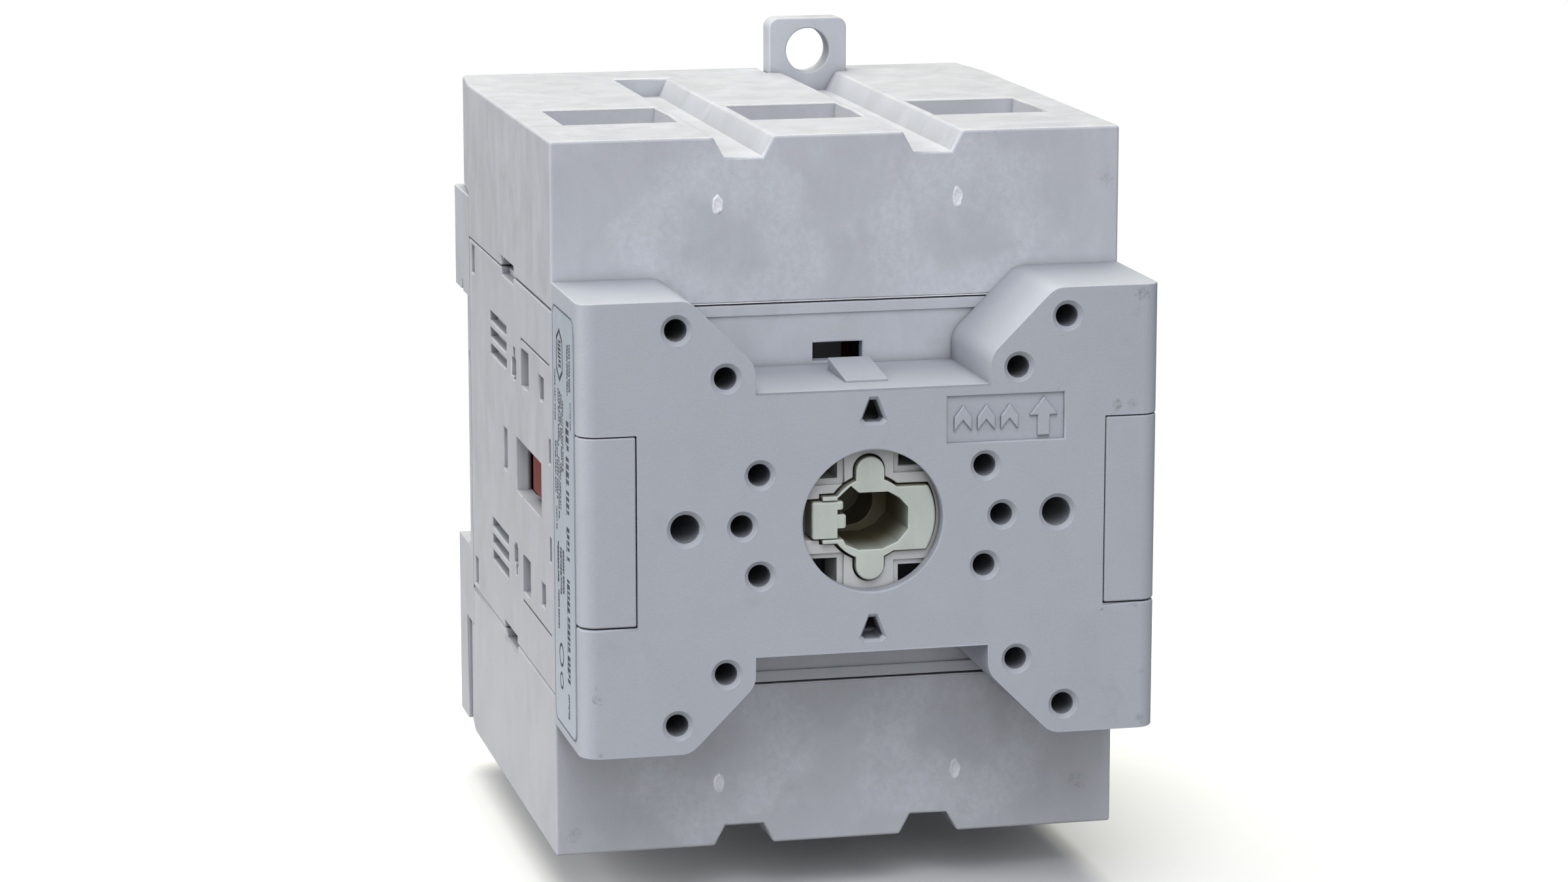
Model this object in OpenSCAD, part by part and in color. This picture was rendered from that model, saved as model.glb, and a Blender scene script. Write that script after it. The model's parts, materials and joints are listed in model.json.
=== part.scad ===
// Three-pole rotary isolator switch for base or DIN-rail mounting.
// Millimetres. X is across the poles, Y runs from the front face back to the mounting plane,
// Z is up. The origin is on the drive axis, in the front face.

/* [Overall] */
// Width of the casing
body_w = 71.5; // [71:0.1:72.5]
// Height over the two terminal shrouds
body_h = 89; // [88:0.5:92]
// Depth from the front face to the mounting plane
depth = 92; // [92:0.5:96]
// Distance between neighbouring poles
pole_pitch = 23.75; // [23.6:0.05:23.8]

/* [Front plate] */
// Height of the front plate
plate_h = 55; // [54:0.5:56]
// How far the front plate's walls run back
plate_depth = 18; // [17.5:0.5:18]
// Thickness of the plate's face
face_t = 3; // [2.5:0.25:3.25]
// Radius of the plate's left and right front edges
plate_edge_r = 2.2; // [1:0.2:2.4]
// Half width of the top and bottom notches at their floor
notch_half = 14.4; // [13.5:0.1:14.8]
// Height of a notch floor above the drive axis
notch_floor = 16.1; // [15.8:0.1:16.4]
// Height at which a notch's sides start to slope out
notch_knee = 19.5; // [18.5:0.1:20.5]
// Radius at both ends of a notch's sloping side
knee_r = 3; // [2.2:0.1:3.4]
// Diameter of the drive opening
opening_d = 17.3; // [17.2:0.1:17.6]
// Side of the outer square of screw holes
square_outer = 48; // [47:0.5:49]
// Side of the inner square of screw holes
square_inner = 36; // [35:0.5:37]
// Width of the small rectangle of screw holes
rect_w = 27.8; // [27.4:0.1:28.4]
// Height of the small rectangle of screw holes
rect_h = 12.3; // [12:0.1:13]
// Distance between the near pair of holes on the centre line
near_pair = 32.1; // [31.8:0.1:32.6]
// Distance between the far pair of holes on the centre line
far_pair = 45.9; // [45.5:0.1:46.3]
// Diameter of the screw holes
hole_d = 2.7; // [2.2:0.1:3]
// Diameter of the far pair's holes
far_hole_d = 3.5; // [3:0.1:3.8]
// Height of a side insert
insert_h = 23; // [20:0.5:24]
// Width of a side insert's face
insert_w = 6.8; // [6.4:0.1:7]

/* [Drive] */
// Diameter of the handle shaft's bore
shaft_bore_d = 6; // [5:0.1:6.2]
// Depth of the handle shaft's bore
shaft_bore_depth = 17.5; // [14:0.5:18]
// Diameter of the hub's stem where it turns in the casing
stem_d = 10.4; // [10.2:0.1:10.6]
// Radial running clearance of the turning parts
running_gap = 0.06; // [0.03:0.01:0.1]
// Number of teeth on the pinion
pinion_teeth = 10; // [10:1:10]
// Module of the pinion and rack
gear_module = 1; // [1:0.05:1]

/* [Contacts] */
// Thickness of the contact bars
bar_t = 2; // [1.6:0.1:2]
// Radius of a silver contact tip
tip_r = 3; // [2.5:0.1:3]
// Distance of the contact tips from the centre line
tip_z = 14; // [13.8:0.1:14.4]
// Spring travel left in a bridge when the switch is closed
wipe = 0.8; // [0.4:0.1:0.8]

/* [Terminals] */
// Width of a cable entry
entry_w = 14.7; // [13:0.1:14.8]
// Depth of a cable entry
entry_l = 16.4; // [15:0.1:16.6]
// Radius of a clamp screw
clamp_r = 3.3; // [3:0.1:3.5]

/* [Shrouds] */
// Wall of a shroud
shroud_wall = 1.8; // [1.4:0.1:2]
// Depth of the screwdriver grooves
groove_depth = 2.5; // [2:0.1:2.6]
// Width of a screwdriver groove at the surface
groove_top = 7.5; // [6.5:0.1:7.8]
// Width of a screwdriver groove at its floor
groove_floor = 4.7; // [4:0.1:5]

/* [Mounting] */
// Width of a screw ear
ear_w = 10.8; // [10:0.1:11]
// Thickness of a screw ear
ear_t = 3.8; // [3:0.1:4]
// Diameter of an ear's screw hole
ear_hole_d = 6; // [5:0.1:6.2]
// Height of an ear's hole above the drive axis
ear_hole_z = 47.4; // [47.2:0.1:48.4]

/* [Hidden] */
$fn = 48;
eps = 0.05;
half_w = body_w / 2;
half_h = body_h / 2;
joint_z = 23.8;                         // joint between the casing and a shroud
joint_gap = 0.15;
pole_x = [-pole_pitch, 0, pole_pitch];
sides = [-1, 1];

// casing
wall = 2.2;
front_d = plate_depth;                  // depth of the casing's front face
casing_rear = 80;
ledge = 0.4;
block_half = 33.4;                      // half width of a terminal block
block_top = 40.2;
pocket_half = 8.65;
pocket_floor = 25.5;
block_front = 27;
block_rear = 57;
bridge_front = 36.5;                    // bearing bridge behind the pinion
bridge_rear = 40;

// drive
pitch_r = gear_module * pinion_teeth / 2;
travel = pitch_r * PI / 2;              // slide travel for a quarter turn
pressure_angle = 25;
addendum = 0.8 * gear_module;
dedendum = gear_module;
backlash = 0.06;
gear_front = 26.3;
gear_rear = 34.7;
opening_t = 2.1;                        // plate's thickness round the drive opening
hub_front = 1.5;
hub_back = 4.4;
hub_rear = 20.5;
mouth_depth = 11;                       // depth of the bore's wide mouth
disc_front = 2.3;
disc_rear = 9.2;
journal_r = 2.5;
clip_half = 2.3;
clip_fit = 0.1;

// contacts, all relative to a pole's centre with the switch open
flange_x = 7.3;                         // face of a fixed contact's upright flange
tip_t = 1;
bar_front = 53.5;
bar_rear = 61.5;
tip_d = (bar_front + bar_rear) / 2;
contact_gap = 0.05;
bridge_travel = travel - wipe;
tip_x = flange_x - tip_t - contact_gap - bridge_travel;
bar_x = tip_x - tip_t - bar_t;
seat_x = -9.6;                          // spring seat of the slide
seat_t = 1.4;
tongue_front = 50;
tongue_t = 2.4;

// terminals
cage_half = 8.5;
cage_inner = 7;
cage_low = 27;
cage_high = 39.5;
cage_front = 28.5;
cage_wall = 2.8;
cage_back = tongue_front + tongue_t + 0.1;
entry_front = 33.6;
screw_front = 21;
screw_rear = 33;
plate_t = 1.8;

// rear base
channel_floor = 85.8;
rail_top = 15.8;
rail_low = -18.9;
top_foot_high = 29.5;
low_foot_low = -44;
taper = 1.25;                           // narrowing of each side towards the rear
ear_x = pole_pitch / 2;
ear_front = 84.2;
ear_top = 51.8;
screw_z = 12;
screw_r = 1.6;

// ---------- helpers ----------

// box given by its limits across, in depth and in height
module slab(x0, x1, d0, d1, z0, z1) {
    translate([x0, d0, z0]) cube([x1 - x0, d1 - d0, z1 - z0]);
}

// round bar along Y between two depths; rf is its front radius when it tapers
module rod(x, z, r, d0, d1, rf = -1) {
    translate([x, d1, z])
        rotate([90, 0, 0])
            cylinder(h = d1 - d0, r1 = r, r2 = rf < 0 ? r : rf);
}

// extrudes an outline drawn in X and Z between two depths
module front_profile(d0, d1) {
    translate([0, d1, 0]) rotate([90, 0, 0]) linear_extrude(d1 - d0) children();
}

// extrudes an outline drawn in Y and Z between two places across
module side_profile(x0, x1) {
    translate([x0, 0, 0]) rotate([90, 0, 90]) linear_extrude(x1 - x0) children();
}

// rectangle with round corners, drawn from its middle
module round_rect(w, h, r) {
    square([w - 2 * r, h], center = true);
    square([w, h - 2 * r], center = true);
    for (sx = sides, sy = sides)
        translate([sx * (w / 2 - r), sy * (h / 2 - r)]) circle(r);
}

// box whose left and right front edges are round
module soft_box(w, h, d1, r) {
    sx = w / 2 - r;
    slab(-sx, sx, 0, d1, -h / 2, h / 2);
    slab(-w / 2, w / 2, r, d1, -h / 2, h / 2);
    for (s = sides)
        translate([s * sx, r, -h / 2]) cylinder(h = h, r = r);
}

// coil spring along Z from the origin, as one swept tube
module coil(r, wire, length, turns) {
    steps = 12;
    ring = 6;
    count = steps * turns;
    pitch = (length - wire) / turns;
    points = [
        for (i = [0:count], j = [0:ring - 1])
            let (a = 360 * i / steps, b = 360 * j / ring, rr = r + wire / 2 * cos(b))
                [rr * cos(a), rr * sin(a), wire / 2 + pitch * i / steps + wire / 2 * sin(b)]
    ];
    skin = [
        for (i = [0:count - 1], j = [0:ring - 1])
            let (k = (j + 1) % ring, a = i * ring, b = a + ring)
                each [[a + j, a + k, b + k], [a + j, b + k, b + j]]
    ];
    start = [[for (j = [ring - 1:-1:0]) j]];
    finish = [[for (j = [0:ring - 1]) count * ring + j]];
    polyhedron(points, concat(skin, start, finish), convexity = 4);
}

// ---------- front plate ----------

// an eighth of a turn of radius r about c, starting at angle a
function eighth(c, r, a) = [for (i = [0:6]) c + r * [cos(a + 7.5 * i), sin(a + 7.5 * i)]];

// one quarter of the plate's outline, inset by t, from the outer corner to the notch floor
function plate_quarter(t) =
    let (
        top = plate_h / 2,
        tangent = knee_r * tan(22.5),
        outer = [notch_half - notch_knee + top + tangent, top - knee_r],
        inner = [notch_half + knee_r, notch_knee - tangent]
    )
    concat(
        [[half_w - t, top - t]],
        eighth(outer, knee_r - t, 90),
        eighth(inner, knee_r - t, 135),
        [[notch_half + t, notch_floor - t]]
    );

module plate_outline(t) {
    q = plate_quarter(t);
    n = len(q) - 1;
    polygon(concat(
        q,
        [for (i = [n:-1:0]) [-q[i][0], q[i][1]]],
        [for (p = q) [-p[0], -p[1]]],
        [for (i = [n:-1:0]) [q[i][0], -q[i][1]]]
    ));
}

// places of the small screw holes
function small_holes() = [
    for (s = [square_outer, square_inner], sx = sides, sz = sides) [sx * s / 2, sz * s / 2],
    for (sx = sides, sz = sides) [sx * rect_w / 2, sz * rect_h / 2],
    for (sx = sides) [sx * near_pair / 2, 0]
];

// screw hole with a lead-in
module screw_hole(p, d) {
    lead = 0.6;
    rod(p[0], p[1], d / 2, -eps, plate_depth);
    rod(p[0], p[1], d / 2, 0, lead, rf = d / 2 + lead);
    rod(p[0], p[1], d / 2 + lead, -1, eps);
}

// three-cornered locating hole with a lead-in, point up
module locating_hole(z) {
    w = 1.75;
    low = 1.7;
    high = 1.9;
    c = 0.55;
    lead = 0.5;
    narrow = 0.72;
    outline = [[-w + c, -low], [w - c, -low], [w, -low + c], [c, high], [-c, high], [-w, -low + c]];
    translate([0, 0, z]) rotate([-90, 0, 0])
        linear_extrude(lead, scale = narrow)
            scale([1, -1]) polygon(outline);
    front_profile(-1, eps)
        translate([0, z]) polygon(outline);
    front_profile(lead - eps, face_t + 1)
        translate([0, z]) scale([narrow, narrow]) polygon(outline);
}

// raised pointers in the sunk orientation panel
module pointers() {
    chevrons = 3;
    for (i = [0:chevrons - 1])
        translate([11.1 + 2.9 * i, 11.95])
            polygon([[-1.1, -1.5], [0, -0.1], [1.1, -1.5], [1.1, 0.2], [0, 1.7], [-1.1, 0.2]]);
    translate([21.15, 11.95])
        polygon([[-0.75, -2.4], [0.75, -2.4], [0.75, 0.1], [1.8, 0.1], [0, 2.4], [-1.8, 0.1], [-0.75, 0.1]]);
}

module front_plate() {
    inner = 2;
    boss_r = 3.1;
    boss_small = 2.4;
    boss_rear = 16.5;
    recess_half = insert_h / 2 + 0.15;
    recess_x = half_w - insert_w - 0.1;
    hook = [30, 31.8, 15, 20];
    ramp_front = 4.8;
    ramp_rear = 14;
    color("#a6acb5") {
        difference() {
            intersection() {
                front_profile(0, plate_depth) plate_outline(0);
                soft_box(body_w, plate_h, plate_depth, plate_edge_r);
            }
            difference() {
                front_profile(face_t, plate_depth + 1) plate_outline(inner);
                for (p = small_holes())
                    rod(p[0], p[1], abs(p[0]) > rect_w / 2 + 2 ? boss_r : boss_small, 0, boss_rear);
                for (s = sides) {
                    rod(s * far_pair / 2, 0, boss_r, 0, boss_rear);
                    slab(s > 0 ? recess_x - inner : -half_w, s > 0 ? half_w : inner - recess_x,
                        0, plate_depth, -recess_half - inner, recess_half + inner);
                }
            }
            for (s = sides)
                slab(s > 0 ? recess_x : -half_w - 1, s > 0 ? half_w + 1 : -recess_x,
                    -1, plate_depth + 1, -recess_half, recess_half);
            for (p = small_holes())
                screw_hole(p, hole_d);
            for (s = sides)
                screw_hole([s * far_pair / 2, 0], far_hole_d);
            for (s = sides)
                locating_hole(s * 13.3);
            rod(0, 0, opening_d / 2, -1, face_t + 1);
            rod(0, 0, rect_w / 2 - 1.5, opening_t, face_t + 1);
            difference() {
                slab(9.1, 23.7, -1, 0.5, 9.1, 14.8);
                front_profile(0.05, 1) pointers();
            }
        }
        // ramp on the top notch's floor
        side_profile(-2.3, 2.95)
            polygon([
                [ramp_front, notch_floor - 0.1], [ramp_front, notch_floor + 0.3],
                [ramp_rear, notch_floor + 1.5], [ramp_rear, notch_floor - 0.1]
            ]);
        // hooks that snap into the casing
        for (sx = sides, sz = sides)
            slab(sx > 0 ? hook[0] : -hook[1], sx > 0 ? hook[1] : -hook[0], face_t - eps, 20.2,
                sz > 0 ? hook[2] : -hook[3], sz > 0 ? hook[3] : -hook[2]);
    }
}

module side_insert(s) {
    t = 1.8;
    inner_x = half_w - insert_w;
    color("#a9afb7") difference() {
        intersection() {
            slab(s > 0 ? inner_x : -half_w, s > 0 ? half_w : -inner_x,
                0, plate_depth - 0.2, -insert_h / 2, insert_h / 2);
            soft_box(body_w, plate_h, plate_depth, plate_edge_r);
        }
        slab(s > 0 ? inner_x - 1 : t - half_w, s > 0 ? half_w - t : 1 - inner_x,
            t, plate_depth + 1, t - insert_h / 2, insert_h / 2 - t);
    }
}

module rating_label() {
    label_t = 0.12;
    label_front = 2.7;
    label_rear = 16.6;
    label_low = -26.2;
    label_high = 25.3;
    color("#b4c0cc")
        side_profile(-half_w - label_t, -half_w - 0.01)
            translate([(label_front + label_rear) / 2, (label_low + label_high) / 2])
                round_rect(label_rear - label_front, label_high - label_low, 1.6);
}

// ---------- drive ----------

// arms of the cross, grown by g
module cross_outline(g) {
    arm = 1.75 + g;
    arm_end = 7.6 - 1.75;
    block_top_z = 3.8 + g;
    block_low_z = -4.1 - g;
    clip_arm = 2.9 + g;
    for (s = sides) {
        translate([-arm, s > 0 ? 0 : -arm_end]) square([2 * arm, arm_end]);
        translate([0, s * arm_end]) circle(arm);
    }
    circle(5 + g);
    intersection() {
        translate([0, block_low_z]) square([9, block_top_z - block_low_z]);
        circle(8.15 + g);
    }
    translate([-5.9 - g, -clip_arm]) square([6, 2 * clip_arm]);
}

// uneven mouth of the bore
module mouth_outline() {
    polygon([
        [-1.4, 3.2], [2.2, 3.2], [3.6, 2.4], [4.7, 1.2], [4.7, -1.5], [3.4, -3], [1.5, -3.8], [-1.4, -3.8],
        [-3, -3.1], [-3.8, -1.4], [-3.8, 1], [-3.4, 1.9], [-4.1, 2.6], [-2.4, 4.1]
    ]);
}

module drive_hub() {
    dog = 1.2;
    color("#c3c9bf") difference() {
        union() {
            front_profile(hub_front, hub_back + 2) cross_outline(0);
            rod(0, 0, stem_d / 2, hub_back, hub_rear);
            for (s = sides)
                slab(s > 0 ? 3 : -5, s > 0 ? 5 : -3, hub_rear - eps, hub_rear + 2, -dog, dog);
        }
        rod(0, 0, shaft_bore_d / 2, 0, hub_front + shaft_bore_depth);
        front_profile(0, hub_front + mouth_depth) mouth_outline();
        // channel of the shaft clip
        slab(-9, -1, 0, hub_back + 0.9, -clip_half - clip_fit, clip_half + clip_fit);
    }
}

module shaft_clip() {
    body = [-7.2, -4];
    nose = [-4.3, -2.85];
    color("#c9cfc6") {
        slab(body[0], body[1], hub_front + 0.15, hub_back + 0.8, -clip_half, clip_half);
        slab(nose[0], nose[1], hub_front + 0.35, hub_back + 0.8, -1.1, 0.6);
        slab(nose[0], nose[1] - 0.4, hub_front + 0.15, hub_front + 1.5, 1.2, clip_half);
    }
}

module rotor_disc() {
    disc_r = 11.6;
    grow = 0.2;
    recess = hub_back + 2.1;
    window_x = [3.8, 8];
    // height of a window's inner edge beside the block and beside the clip
    window_z = [6.1, 4.9];
    rim = 0.7;
    rim_drop = 0.5;
    color("#9da1a3") difference() {
        rod(0, 0, disc_r, disc_front, disc_rear);
        front_profile(0, recess) {
            cross_outline(grow);
            translate([-8.6, -clip_half - grow]) square([5, 2 * (clip_half + grow)]);
        }
        rod(0, 0, stem_d / 2 + 0.1, 0, disc_rear + 1);
        for (sx = sides, sz = sides) {
            z = sx > 0 ? window_z[0] : window_z[1];
            slab(sx > 0 ? window_x[0] : -window_x[1], sx > 0 ? window_x[1] : -window_x[0], 0, disc_rear + 1,
                sz > 0 ? z : -9.2, sz > 0 ? 9.2 : -z);
            // sunk fields that leave ribs along the cross
            slab(sx > 0 ? window_x[0] - rim : -11, sx > 0 ? 11 : rim - window_x[0], 0, disc_front + rim_drop,
                sz > 0 ? z - rim : -10, sz > 0 ? 10 : rim - z);
        }
    }
}

module snap_spring() {
    spring_r = 7;
    spring_wire = 1;
    turns = 5;
    color("silver")
        translate([0, disc_rear + 7.2, 0])
            rotate([90, 0, 0]) coil(spring_r, spring_wire, 6.8, turns);
}

// involute of the base circle, at the point whose radius is r
function involute_turn(r, rb) = let (t = sqrt(pow(r / rb, 2) - 1)) t * 180 / PI - atan(t);

module gear_outline() {
    base_r = pitch_r * cos(pressure_angle);
    tip = pitch_r + addendum;
    root = pitch_r - dedendum;
    steps = 5;
    half = 90 / pinion_teeth - backlash / 2 / pitch_r * 180 / PI;
    radii = [for (i = [0:steps]) base_r + (tip - base_r) * i / steps];
    spread = half + involute_turn(pitch_r, base_r);
    flank = [for (r = radii) [r, spread - involute_turn(r, base_r)]];
    points = [
        for (k = [0:pinion_teeth - 1])
            let (c = 90 + 360 * k / pinion_teeth)
                each concat(
                    [[root, c - spread]],
                    [for (p = flank) [p[0], c - p[1]]],
                    [for (i = [steps:-1:0]) [flank[i][0], c + flank[i][1]]],
                    [[root, c + spread]]
                )
    ];
    polygon([for (p = points) p[0] * [cos(p[1]), sin(p[1])]]);
}

module pinion() {
    collar_r = 5.5;
    collar_front = hub_rear + 0.1;
    slot = 1.25;
    color("#4a3f35") difference() {
        union() {
            front_profile(gear_front, gear_rear) gear_outline();
            rod(0, 0, collar_r, collar_front, gear_front - 0.2);
            rod(0, 0, pitch_r - dedendum - 0.3, gear_front - 1, gear_front + 1);
            rod(0, 0, journal_r, gear_rear - 1, bridge_rear - 0.5);
        }
        for (s = sides)
            slab(s > 0 ? 2.9 : -6, s > 0 ? 6 : -2.9, collar_front - 1, hub_rear + 2.1, -slot, slot);
    }
}

// ---------- contact slide ----------

// row of rack teeth pointing down from the root line
module rack_teeth() {
    pitch = PI * gear_module;
    slope = tan(pressure_angle);
    half = pitch / 4 - backlash / 2;
    root = pitch_r + dedendum;
    tip = pitch_r - addendum;
    for (k = [-4:1])
        translate([pitch * (k + 0.5), 0])
            polygon([
                [-half - slope * (root - pitch_r), root + eps], [-half + slope * (pitch_r - tip), tip],
                [half - slope * (pitch_r - tip), tip], [half + slope * (root - pitch_r), root + eps]
            ]);
}

module contact_slide() {
    reach = 34.5;
    finger = 2.5;
    finger_rear = 39;
    finger_l = 10;
    rail_front = 26.2;
    rail_rear = 34.9;
    window = [-15, 7.2];
    beam = 2;
    web = 4;
    back_front = 44;
    back_rear = 49.4;
    back_half = 8;
    stop = [bar_x + bar_t + 0.05, bar_x + bar_t + 1.35];
    color("#8c3c32") {
        front_profile(rail_front, rail_rear) {
            difference() {
                union() {
                    translate([window[0] - beam, -9.3]) square([window[1] - window[0] + 2 * beam, 18.9]);
                    translate([-reach, -finger]) square([2 * reach - travel, 2 * finger]);
                }
                translate([window[0], -6.6]) square([window[1] - window[0], 6.6 + pitch_r + dedendum]);
            }
            rack_teeth();
        }
        // blocks that show in the position windows
        for (x = [-reach, reach - travel - finger_l])
            slab(x, x + finger_l, rail_front, finger_rear, -finger, finger);
        slab(window[0] - web, window[0], rail_rear - 1, back_front + 1, -5, 5);
        slab(window[1], window[1] + web, rail_rear - 1, back_front + 1, -5, 5);
        slab(pole_x[0] + seat_x, pole_x[2] + stop[1], back_front, back_rear, -back_half, back_half);
        for (x = pole_x) {
            slab(x + seat_x, x + seat_x + seat_t, back_rear - 1, 64.4, -back_half, back_half);
            slab(x + seat_x, x + stop[1], 62.6, 64.4, -back_half, back_half);
            for (s = sides)
                slab(x + stop[0], x + stop[1], back_rear - 1, 63,
                    s > 0 ? 5 : -back_half, s > 0 ? back_half : -5);
        }
    }
}

module moving_bridges() {
    color("#b87545")
        for (x = pole_x)
            slab(x + bar_x, x + bar_x + bar_t, bar_front, bar_rear, -17.2, 17.2);
}

// contact discs whose backs lie at x past each pole's centre
module tips(x) {
    color("#d8d8d4")
        for (p = pole_x, s = sides)
            translate([p + x, tip_d, s * tip_z]) rotate([0, 90, 0]) cylinder(h = tip_t, r = tip_r);
}

module contact_springs() {
    seat = seat_x + seat_t;
    turns = 4;
    color("silver")
        for (x = pole_x)
            translate([x + seat, tip_d, 0])
                rotate([0, 90, 0]) coil(2.8, 0.7, bar_x - seat, turns);
}

// fixed contacts of one terminal row; s is +1 above, -1 below
module fixed_contacts(s) {
    tongue_half = 6.2;
    tongue_high = 39;
    step_low = 17;
    step_high = 20;
    color("#b87545")
        for (x = pole_x)
            scale([1, 1, s]) {
                slab(x - tongue_half, x + tongue_half, tongue_front, tongue_front + tongue_t,
                    step_low, tongue_high);
                slab(x, x + flange_x + bar_t, tongue_front, tongue_front + tongue_t, step_low, step_high);
                slab(x + flange_x, x + flange_x + bar_t, tongue_front, 63, 10, step_high);
            }
}

// ---------- terminals ----------

module terminal_cages() {
    color("#b9bcbe")
        for (x = pole_x, s = sides)
            difference() {
                slab(x - cage_half, x + cage_half, cage_front, cage_back + 1.5,
                    s > 0 ? cage_low : -cage_high, s > 0 ? cage_high : -cage_low);
                slab(x - cage_inner, x + cage_inner, cage_front + cage_wall, cage_back, -50, 50);
                rod(x, s * (cage_low + cage_high) / 2, clamp_r + running_gap,
                    cage_front - 1, cage_front + cage_wall + 1);
            }
}

// centre of terminal i: the three upper ones first, then the three lower ones
function terminal_x(i) = pole_x[i % 3];
function terminal_z(i) = (i < 3 ? 1 : -1) * (cage_low + cage_high) / 2;

module clamp_screw(i) {
    socket_r = 1.9;
    color("#c4c6c8") difference() {
        rod(terminal_x(i), terminal_z(i), clamp_r, screw_front, screw_rear);
        translate([terminal_x(i), screw_front + 4, terminal_z(i)])
            rotate([90, 0, 0]) cylinder(h = 5, r = socket_r, $fn = 6);
    }
}

module pressure_plate(i) {
    h = 10.5;
    color("#b0b3b5")
        slab(terminal_x(i) - cage_inner + 0.2, terminal_x(i) + cage_inner - 0.2,
            screw_rear + 0.02, screw_rear + plate_t, terminal_z(i) - h / 2, terminal_z(i) + h / 2);
}

// ---------- casing ----------

// openings and marks of a side wall; s is the side they are on
module side_openings(s) {
    deep = 1.2;
    far = half_w + 1;
    mirror([s > 0 ? 0 : 1, 0, 0]) {
        // position window, wider on the inside
        translate([0, 0, -3.5])
            linear_extrude(7)
                polygon([
                    [half_w - wall - 1, 26], [far, 26], [far, 44.9],
                    [half_w, 44.7], [half_w - 1.7, 44.4], [half_w - wall - 1, 46.5]
                ]);
        for (t = sides) {
            for (i = [0:2])
                slab(half_w - deep, far, 50.8, 64.2, t * (11.6 + 2.2 * i) - 0.65, t * (11.6 + 2.2 * i) + 0.65);
            slab(half_w - 4, far, 34.5, 39.8, t * 13.3 - 2.4, t * 13.3 + 2.4);
            slab(half_w - deep, far, 43.7, 47.3, t * 12.2 - 1.2, t * 12.2 + 1.2);
            slab(half_w - deep, far, 44.3, 45.8, t * 12.7 - 2.1, t * 12.7 + 2.1);
            slab(half_w - deep, far, 23.7, 27.3, t * 13 - 1.5, t * 13 + 1.5);
            slab(half_w - deep, far, 19.2, 21.3, t * 6.15 - 1.55, t * 6.15 + 1.55);
            slab(half_w - deep, far, 75.7, 79, t * 21.3 - 1.9, t * 21.3 + 1.9);
            slab(half_w - 0.35, far, 19.7, 40, t * 16.9 - 0.15, t * 16.9 + 0.15);
            slab(half_w - deep, far, 45, 54.5, t > 0 ? 22.9 : -joint_z - 1, t > 0 ? joint_z + 1 : -22.9);
        }
        slab(half_w - deep, far, 51, 54.6, -2.5, 3);
        slab(half_w - 0.35, far, 39.85, 40.15, -16.9, 16.9);
    }
}

// room for the mechanism, with what stands in it left out
module casing_cavity() {
    inner = half_w - wall;
    rear_wall_t = 1.6;
    boss_r = 3.6;
    difference() {
        slab(-inner, inner, front_d + 2.5, casing_rear + 1, -joint_z + wall, joint_z - wall);
        slab(-5, 5, bridge_front, bridge_rear, -joint_z, joint_z);
        for (s = sides) {
            slab(s * ear_x - rear_wall_t / 2, s * ear_x + rear_wall_t / 2, 66, casing_rear, -joint_z, joint_z);
            for (t = sides) {
                rod(s * ear_x, t * screw_z, boss_r, 66, casing_rear);
                // guides beside the slide's fingers
                slab(s > 0 ? 26 : -inner, s > 0 ? inner : -26, 25, 41,
                    t > 0 ? 2.6 : -5, t > 0 ? 5 : -2.6);
            }
        }
    }
}

module housing_body() {
    tongue_slot = 6.35;
    color("#b0b2b8") difference() {
        union() {
            slab(-half_w, half_w, front_d, casing_rear, -joint_z, joint_z);
            for (s = sides)
                slab(-block_half, block_half, block_front, block_rear,
                    s > 0 ? joint_z - 1 : -block_top, s > 0 ? block_top : 1 - joint_z);
        }
        casing_cavity();
        for (s = sides) {
            side_openings(s);
            // recessed band of the front face behind the plate's notches
            slab(-22.6, 22.6, front_d - 1, front_d + ledge, s > 0 ? 14 : -22.4, s > 0 ? 22.4 : -14);
            for (t = sides)
                slab(s > 0 ? 29.8 : -32, s > 0 ? 32 : -29.8, front_d - 1, front_d + 4,
                    t > 0 ? 14.8 : -20.2, t > 0 ? 20.2 : -14.8);
            for (x = pole_x) {
                slab(x - pocket_half, x + pocket_half, block_front - 1, block_rear - 2.5,
                    s > 0 ? pocket_floor : -block_top - 1, s > 0 ? block_top + 1 : -pocket_floor);
                slab(x - tongue_slot, x + tongue_slot, tongue_front - 0.1, cage_back,
                    s > 0 ? joint_z - 5 : -pocket_floor - 1, s > 0 ? pocket_floor + 1 : 5 - joint_z);
            }
            for (t = sides)
                rod(s * ear_x, t * screw_z, screw_r + 0.05, 68, casing_rear + 1);
        }
        // latch slot above the plate's ramp
        slab(-3.1, 3.2, front_d - 1, front_d + 5, 16.4, 18.7);
        rod(0, 0, stem_d / 2 + running_gap, front_d - 1, front_d + 5);
        rod(0, 0, journal_r + running_gap, bridge_front - 1, bridge_rear + 1);
    }
}

// wedge that narrows one side towards the rear
module rear_taper(z0, z1) {
    for (s = sides)
        translate([0, 0, z0])
            linear_extrude(z1 - z0)
                polygon([
                    [s * half_w, casing_rear], [s * (half_w - taper), depth],
                    [s * (half_w - taper), depth + 1], [s * (half_w + 1), depth + 1],
                    [s * (half_w + 1), casing_rear]
                ]);
}

// cable entry: straight sides with a funnel below the surface
module entry(x) {
    mid = entry_front + entry_l / 2;
    low = 40.55;
    lip = 0.6;
    narrow = 0.9;
    slab(x - entry_w / 2, x + entry_w / 2, entry_front, entry_front + entry_l, half_h - lip, half_h + 1);
    translate([x, mid, low])
        linear_extrude(half_h - lip - low, scale = 1 / narrow)
            square([entry_w * narrow, entry_l * narrow], center = true);
}

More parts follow.
